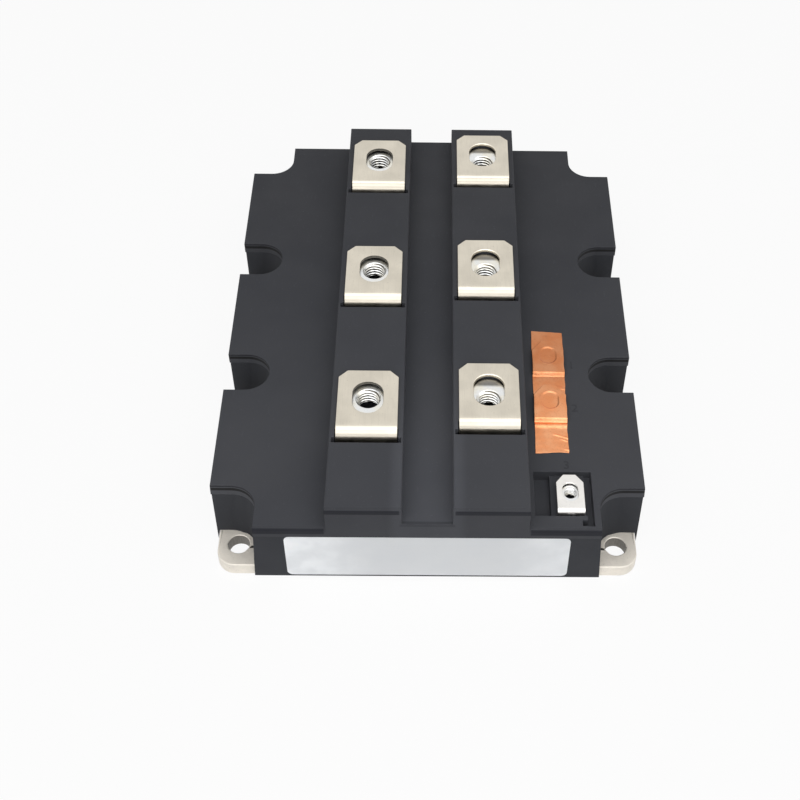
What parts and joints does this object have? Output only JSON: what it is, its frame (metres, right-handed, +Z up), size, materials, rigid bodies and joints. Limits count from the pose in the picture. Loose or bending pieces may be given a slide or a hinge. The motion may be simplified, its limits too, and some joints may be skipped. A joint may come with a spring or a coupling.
{
  "type": "igbt module",
  "caption": "Dark moulded power semiconductor module on a plated base plate with folded screw terminals along two ridges and small sense terminals.",
  "frame": {"origin": "centre of the base plate's underside, which is the module's mounting face", "axes": "+X across the module towards the emitter terminals, +Y along it away from the label, +Z up out of the mounting face"},
  "size_m": [0.14, 0.19, 0.038],
  "materials": {
    "nickel_plate": "satin nickel plated base plate",
    "cover_plastic": "matte dark slate moulding",
    "frame_plastic": "matte dark slate moulding",
    "terminal_nickel": "satin nickel plated copper sheet",
    "sense_nickel": "bright nickel plated sheet",
    "zinc": "zinc plated steel",
    "copper_tape": "creased copper foil",
    "label_white": "matte blank label",
    "ceramic": "fired ceramic",
    "bare_copper": "bare copper",
    "silicon": "metallised silicon",
    "wire_metal": "drawn aluminium wire",
    "board_green": "glass fibre board",
    "pin_metal": "tinned brass",
    "gel": "clear soft gel"
  },
  "bodies": {
    "root": {"base_plate": "nickel_plate", "case_frame": "frame_plastic", "cover": "cover_plastic", "collector_terminal_1": "terminal_nickel", "collector_terminal_2": "terminal_nickel", "collector_terminal_3": "terminal_nickel", "emitter_terminal_1": "terminal_nickel", "emitter_terminal_2": "terminal_nickel", "emitter_terminal_3": "terminal_nickel", "main_nut_1": "zinc", "main_nut_2": "zinc", "main_nut_3": "zinc", "main_nut_4": "zinc", "main_nut_5": "zinc", "main_nut_6": "zinc", "gate_terminal": "sense_nickel", "emitter_sense_terminal": "sense_nickel", "collector_sense_terminal": "sense_nickel", "aux_nut_1": "zinc", "aux_nut_2": "zinc", "aux_nut_3": "zinc", "shorting_tape": "copper_tape", "blank_label": "label_white", "substrate_ceramic_1": "ceramic", "substrate_ceramic_2": "ceramic", "substrate_ceramic_3": "ceramic", "substrate_ceramic_4": "ceramic", "substrate_ceramic_5": "ceramic", "substrate_ceramic_6": "ceramic", "substrate_copper_1": "bare_copper", "substrate_copper_2": "bare_copper", "substrate_copper_3": "bare_copper", "substrate_copper_4": "bare_copper", "substrate_copper_5": "bare_copper", "substrate_copper_6": "bare_copper", "transistor_dies_1": "silicon", "transistor_dies_2": "silicon", "transistor_dies_3": "silicon", "transistor_dies_4": "silicon", "transistor_dies_5": "silicon", "transistor_dies_6": "silicon", "diode_dies_1": "silicon", "diode_dies_2": "silicon", "diode_dies_3": "silicon", "diode_dies_4": "silicon", "diode_dies_5": "silicon", "diode_dies_6": "silicon", "bond_wires_1": "wire_metal", "bond_wires_2": "wire_metal", "bond_wires_3": "wire_metal", "bond_wires_4": "wire_metal", "bond_wires_5": "wire_metal", "bond_wires_6": "wire_metal", "gate_board": "board_green", "gate_pins": "pin_metal", "silicone_gel": "gel"}
  },
  "joints": []
}
